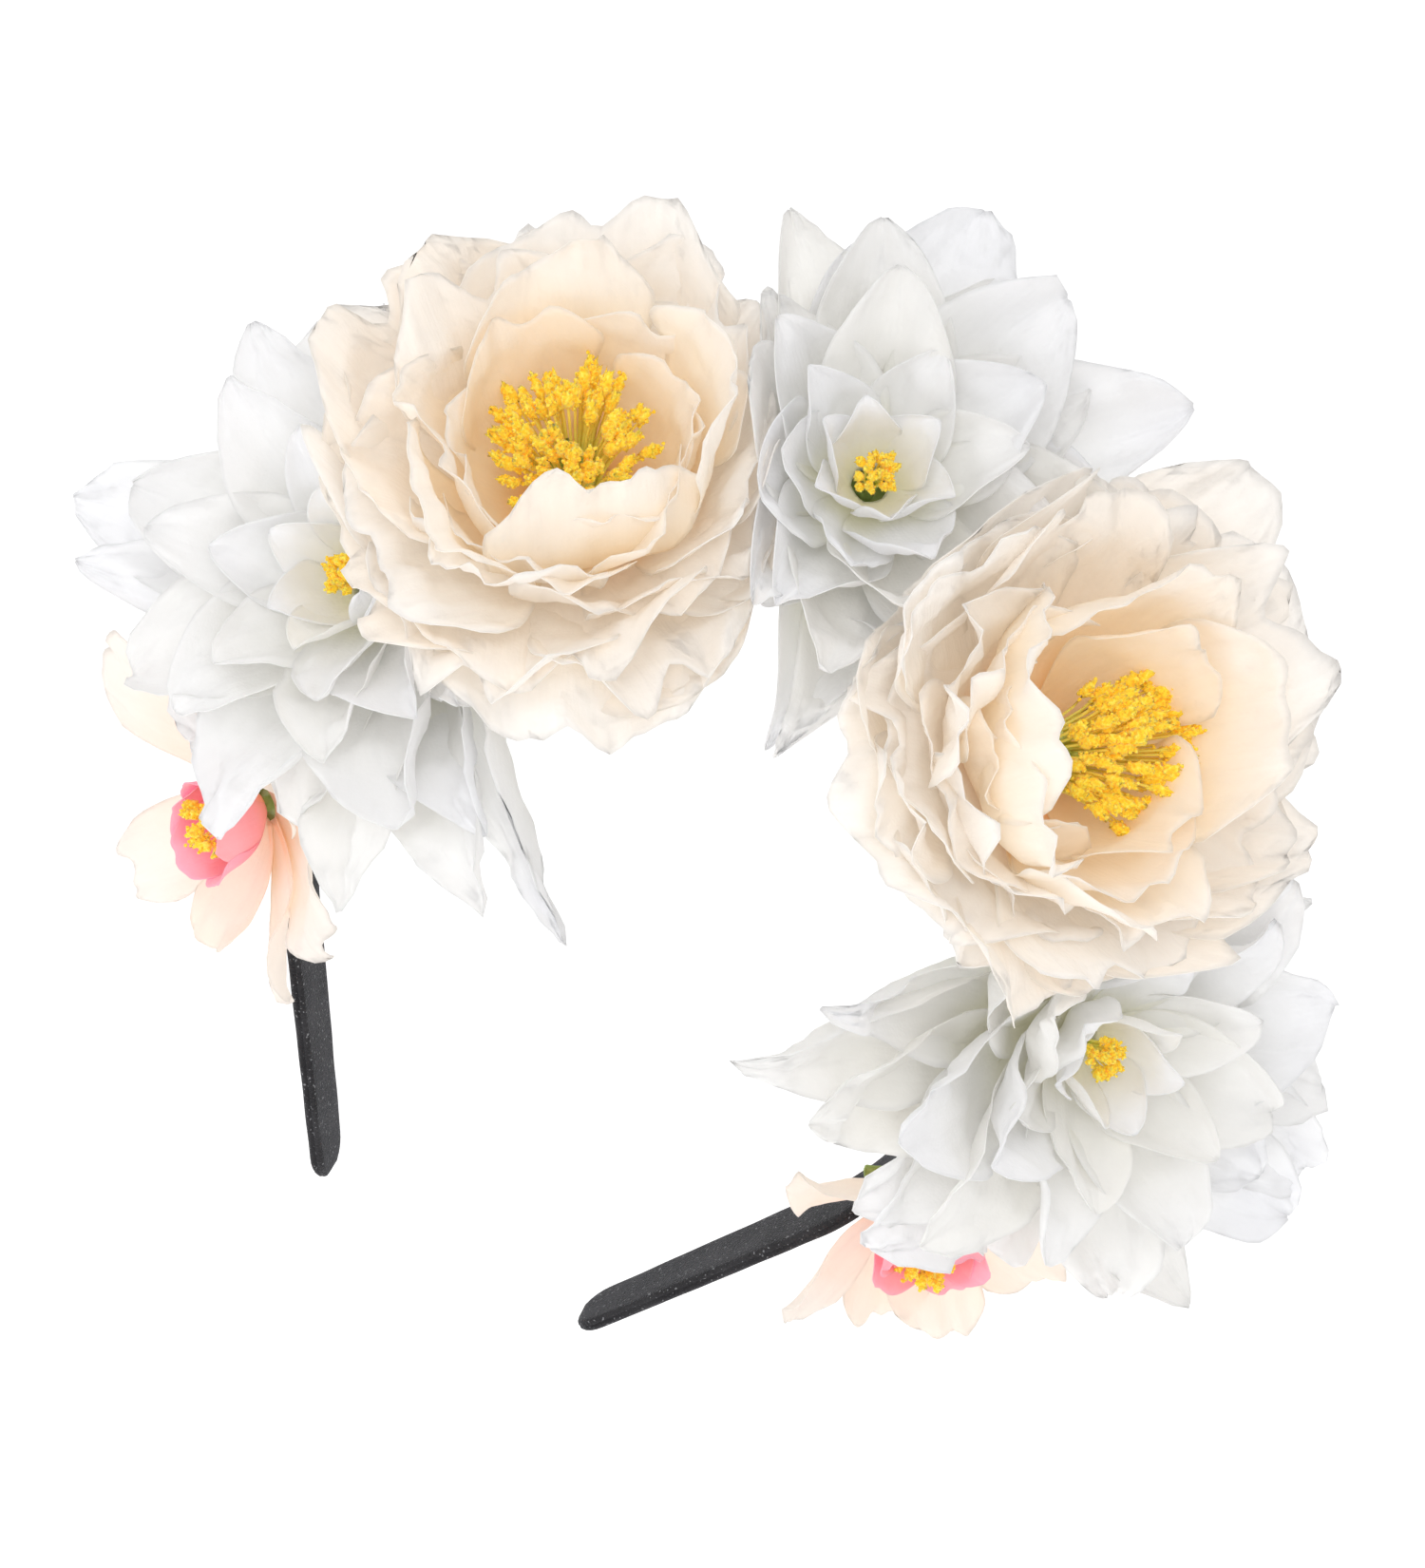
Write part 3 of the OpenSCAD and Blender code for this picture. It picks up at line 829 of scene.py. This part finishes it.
def make_pistil(flower):
    """Five green carpels in a tuft, each with a hooked tip."""
    rng = random.Random(f"{flower}-pistil")
    sheet = Sheet()
    up = Vector((0, 0, 1))
    for i in range(5):
        angle = 2 * math.pi * i / 5
        lean = Vector((math.cos(angle), math.sin(angle), 0))
        centre = lean * 2.1 + up * 11.5
        lump(sheet, rng, centre, (up + lean * 0.25).normalized(), 9, 1.8, 0.12)
        hook = [centre + up * rise + lean * out for rise, out in ((3.8, 0.8), (5.4, 1.2), (6, 2.4))]
        tube(sheet, hook, [0.8, 0.55, 0.3], 6)
    node = f"{flower}_pistil"
    piece = sheet.build(f"{node}_carpels", HEART_GREEN, flower_matrix(flower))
    stand_for(piece, SLOTS[HEART_GREEN], node)
    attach(piece, "crown")


LEAF_T = 0.4

# The blossoms' leaves that would lie in the way of a leg
LEAVES_LEFT_OUT = {"left_blossom": (4,), "right_blossom": (3,)}


def make_calyx_leaves(flower, count, length, width):
    """Green leaves under the petals, on the calyx's cup, which stays as CAD made it."""
    rng = random.Random(f"{flower}-leaves")
    sheet = Sheet()
    add_ring(sheet, rng, count, offset=15, length=length, width=width, start=74, end=102, foot=4.5,
             level=-1.6, shape="pointed", cup=0.5, pleat=0.4, crumple=0.5, curl=-6,
             left_out=LEAVES_LEFT_OUT.get(flower, ()))
    piece = sheet.build(f"{flower}_calyx_leaves", LEAF, flower_matrix(flower))
    thicken(piece, LEAF_T)
    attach(piece, "crown")


# How far each tuft of stamens leans as a whole, as a share of its height
STAMEN_FAN = {"left_peony": (-0.12, 0.16), "right_peony": (0.7, 0.12)}

PEONY_STAMENS = dict(count=110, foot_z=6.4, spread=13.5, height=17, thread_r=0.3, clump_l=3.6, clump_r=0.9)
DAHLIA_STAMENS = dict(count=26, foot_z=6.4, spread=3.6, height=8, thread_r=0.25, clump_l=2.0, clump_r=0.7)
BLOSSOM_STAMENS = dict(count=14, foot_z=3.2, spread=5.5, height=13, thread_r=0.3, clump_l=2.4, clump_r=0.9)

for flower in ("left_peony", "right_peony"):
    make_peony_petals(flower)
    make_pistil(flower)
    make_stamens(flower, fan=STAMEN_FAN[flower], **PEONY_STAMENS)
    make_calyx_leaves(flower, count=5, length=24, width=12)

for flower in ("left_dahlia", "top_dahlia", "right_dahlia"):
    make_dahlia_petals(flower)
    make_stamens(flower, **DAHLIA_STAMENS)
    make_calyx_leaves(flower, count=6, length=20, width=9)

for flower in ("left_blossom", "right_blossom"):
    make_blossom_petals(flower)
    make_stamens(flower, **BLOSSOM_STAMENS)
    make_calyx_leaves(flower, count=5, length=11, width=6)

# ---------------------------------------------------------------- headband

# Rounding of the velvet's corners, and depth of the folded seam on its narrow edges
CORNER_R = 0.9
CREASE = 0.45
FELT_T = 1.2
# Past any band's end, so that the strip runs to the tip
TO_THE_TIP = 1000


def side_path(spacing):
    """The right half of the band from its top to its tip: (x, z, slope, width) at even steps.
    Slope is the angle of the outward face from straight up."""
    quarter = MID_R * math.pi / 2
    bend = BEND_R * math.radians(LEG_LEAN)
    total = quarter + SIDE_L + bend + LEG_L
    bend_x = MID_R - BEND_R
    side_z = -HEAD_R - SIDE_L
    lean = math.radians(90 + LEG_LEAN)
    bend_end = (bend_x + BEND_R * math.sin(lean), side_z + BEND_R * math.cos(lean))
    count = round(total / spacing)
    path = []
    for k in range(count + 1):
        s = total * k / count
        width = BAND_W
        if s <= quarter:
            slope = s / MID_R
            x, z = MID_R * math.sin(slope), MID_R * math.cos(slope) - HEAD_R
        elif s <= quarter + SIDE_L:
            slope = math.pi / 2
            x, z = MID_R, -HEAD_R - (s - quarter)
        elif s <= quarter + SIDE_L + bend:
            slope = math.pi / 2 + (s - quarter - SIDE_L) / BEND_R
            x, z = bend_x + BEND_R * math.sin(slope), side_z + BEND_R * math.cos(slope)
        else:
            slope = lean
            along = s - quarter - SIDE_L - bend
            x = bend_end[0] + along * math.cos(slope)
            z = bend_end[1] - along * math.sin(slope)
            width = BAND_W + (TIP_W - BAND_W) * along / LEG_L
        path.append((s, x, z, slope, width))
    return path, total


def strip_section(width, thickness, corner, crease):
    """Half the outline of the band's cross-section, mirrored to a closed loop: rounded
    corners, and a crease along each narrow edge where the velvet is folded in."""
    half_w, half_t = width / 2, thickness / 2
    corner = min(corner, half_t * 0.8, half_w * 0.8)
    quarter = [math.radians(a) for a in (0, 22.5, 45, 67.5, 90)]
    loop = [(half_w - crease, 0.0)]
    flat_w, flat_t = half_w - corner, half_t - corner
    loop += [(flat_w + corner * math.cos(a), flat_t + corner * math.sin(a)) for a in quarter]
    loop += [(flat_w * share, half_t) for share in (0.6, 0.2, -0.2, -0.6)]
    loop += [(-flat_w - corner * math.cos(a), flat_t + corner * math.sin(a)) for a in quarter[::-1]]
    loop.append((-half_w + crease, 0.0))
    loop += [(y, -n) for y, n in loop[-2:0:-1]]
    return loop


def sweep_strip(name, material, sign, start, end, thickness=BAND_T, lift=0.0, width_scale=1.0,
                corner=CORNER_R, crease=CREASE, round_tip=False):
    """Sweeps the section along the band between two lengths from its top."""
    path, total = side_path(1.2)
    path = [p for p in path if start <= p[0] <= end]
    sheet = Sheet()
    rows = []
    for s, x, z, slope, width in path:
        left = total - s
        tip_r = TIP_W / 2
        share = 1.0
        if round_tip and left < tip_r:
            share = math.sqrt(max(1 - ((tip_r - left) / tip_r) ** 2, 0.0))
        thin = thickness * max(share ** 0.6, 0.12)
        row = []
        wide = width * width_scale * max(share, 0.1)
        for k, (y, n) in enumerate(strip_section(wide, thin, corner, crease * share)):
            wobble = 0.12 * noise.noise(Vector((s * 0.13, k * 0.35, sign * 3.0)))
            out = n + lift + wobble * (1 if n > 0 else -1)
            place = Vector((sign * (x + out * math.sin(slope)), y, z + out * math.cos(slope)))
            row.append((place * MM, k / 30, s / total))
        rows.append(row if sign > 0 else row[::-1])
    sheet.grid(rows, closed=True)
    width = len(rows[0])
    sheet.cap(0, width, flip=True)
    sheet.cap((len(rows) - 1) * width, width)
    return sheet.build(name, material)


# Length of the round top on one side, where the velvet of its leg starts
QUARTER = MID_R * math.pi / 2


def make_headband():
    for sign, side in ((-1, "left"), (1, "right")):
        top = sweep_strip(f"velvet_arch_{side}", VELVET, sign, 0, QUARTER + 1)
        stand_for(top, SLOTS[VELVET], "velvet_cover_arch")
        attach(top, "crown")
        leg = sweep_strip(f"velvet_{side}_leg", VELVET, sign, QUARTER, TO_THE_TIP, round_tip=True)
        stand_for(leg, SLOTS[VELVET], f"velvet_cover_{side}_leg", "velvet_cover_arch")
        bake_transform(leg)
        felt = sweep_strip(f"felt_{side}", FELT, sign, 0, QUARTER + SIDE_L, thickness=FELT_T,
                           lift=(BAND_T + FELT_T) / 2, width_scale=0.8, corner=0.4, crease=0.1)
        stand_for(felt, SLOTS[FELT], "felt_backing")
        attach(felt, "crown")
        paint(f"spring_strip_{side}_leg", STEEL)
    paint("spring_strip_arch", STEEL)


def paint(node, material):
    """Gives a CAD node its finished material."""
    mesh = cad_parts[node].data
    mesh.materials.clear()
    mesh.materials.append(material)


# Height of the middle of a glue bead above the velvet, its length and its radius
GLUE_H = 2.4
GLUE_L = 10.5
GLUE_R = 3.4


def make_glue():
    """A drawn-out bead of glue for each stem, on the felt."""
    rng = random.Random("glue")
    sheet = Sheet()
    for name, (clock, *_rest) in FLOWERS.items():
        if abs(clock) < 90:
            angle = math.radians(clock)
            out = Vector((math.sin(angle), 0, math.cos(angle)))
            centre = out * (OUTER_R + GLUE_H) - Vector((0, 0, HEAD_R))
        else:
            out = Vector((math.copysign(1, clock), 0, 0))
            centre = out * (OUTER_R + GLUE_H) - Vector((0, 0, HEAD_R + SIDE_L - 4))
        lump(sheet, rng, centre, Vector((0, 1, 0)), GLUE_L, GLUE_R, 0.16)
    piece = sheet.build("hot_glue_beads", GLUE)
    smooth = piece.modifiers.new("smooth", "SUBSURF")
    smooth.levels = 1
    smooth.render_levels = 1
    stand_for(piece, SLOTS[GLUE], "hot_glue")
    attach(piece, "crown")


make_headband()
make_glue()
for flower in FLOWERS:
    paint(f"{flower}_calyx", LEAF)

# ---------------------------------------------------------------- studio


# Light that goes from petal to petal many times makes white flowers glow inside; the petals' painted glow
# adds to it
LIGHT_BOUNCES = 10
SKY_STRENGTH = 0.77
# The floor's half width and height in metres, and the light it gives off to stay near white
FLOOR_HALF = 12.0
FLOOR_Z = -0.40
FLOOR_GLOW = 0.5
# Each lamp: name, place and size in metres, watts
LAMPS = (
    ("front_light", (-0.06, -0.78, 0.46), 0.5, 1.5),
    ("key_light", (-0.55, -0.75, 0.75), 0.7, 0.7),
)


def make_sky():
    world = bpy.data.worlds.new("studio")
    world.use_nodes = True
    sky = world.node_tree.nodes["Background"]
    sky.inputs["Color"].default_value = (1, 1, 1, 1)
    sky.inputs["Strength"].default_value = SKY_STRENGTH
    bpy.context.scene.world = world
    bpy.context.scene.view_settings.view_transform = "Standard"
    bpy.context.scene.cycles.diffuse_bounces = LIGHT_BOUNCES


def make_floor():
    sheet = Sheet()
    edges = (-FLOOR_HALF, FLOOR_HALF)
    sheet.grid([[(Vector((x, y, FLOOR_Z)), 0, 0) for x in edges] for y in edges])
    material, tree, shader = new_material("studio_floor", 0.9)
    shader.inputs["Emission Color"].default_value = (1, 1, 1, 1)
    shader.inputs["Emission Strength"].default_value = FLOOR_GLOW
    paper = noise_value(tree, 30, 2)
    shade = ramp(tree, paper, ((0.3, (0.93, 0.93, 0.93)), (0.7, (0.95, 0.95, 0.95))))
    tree.links.new(shade, shader.inputs["Base Color"])
    sheet.build("studio_floor", material)


def make_lamps():
    for name, place, size, power in LAMPS:
        light = bpy.data.lights.new(name, "AREA")
        light.size = size
        light.energy = power
        lamp = bpy.data.objects.new(name, light)
        bpy.context.scene.collection.objects.link(lamp)
        lamp.location = place
        towards = CAMERA_AIM - Vector(place)
        lamp.rotation_euler = towards.to_track_quat("-Z", "Y").to_euler()


make_sky()
make_floor()
make_lamps()
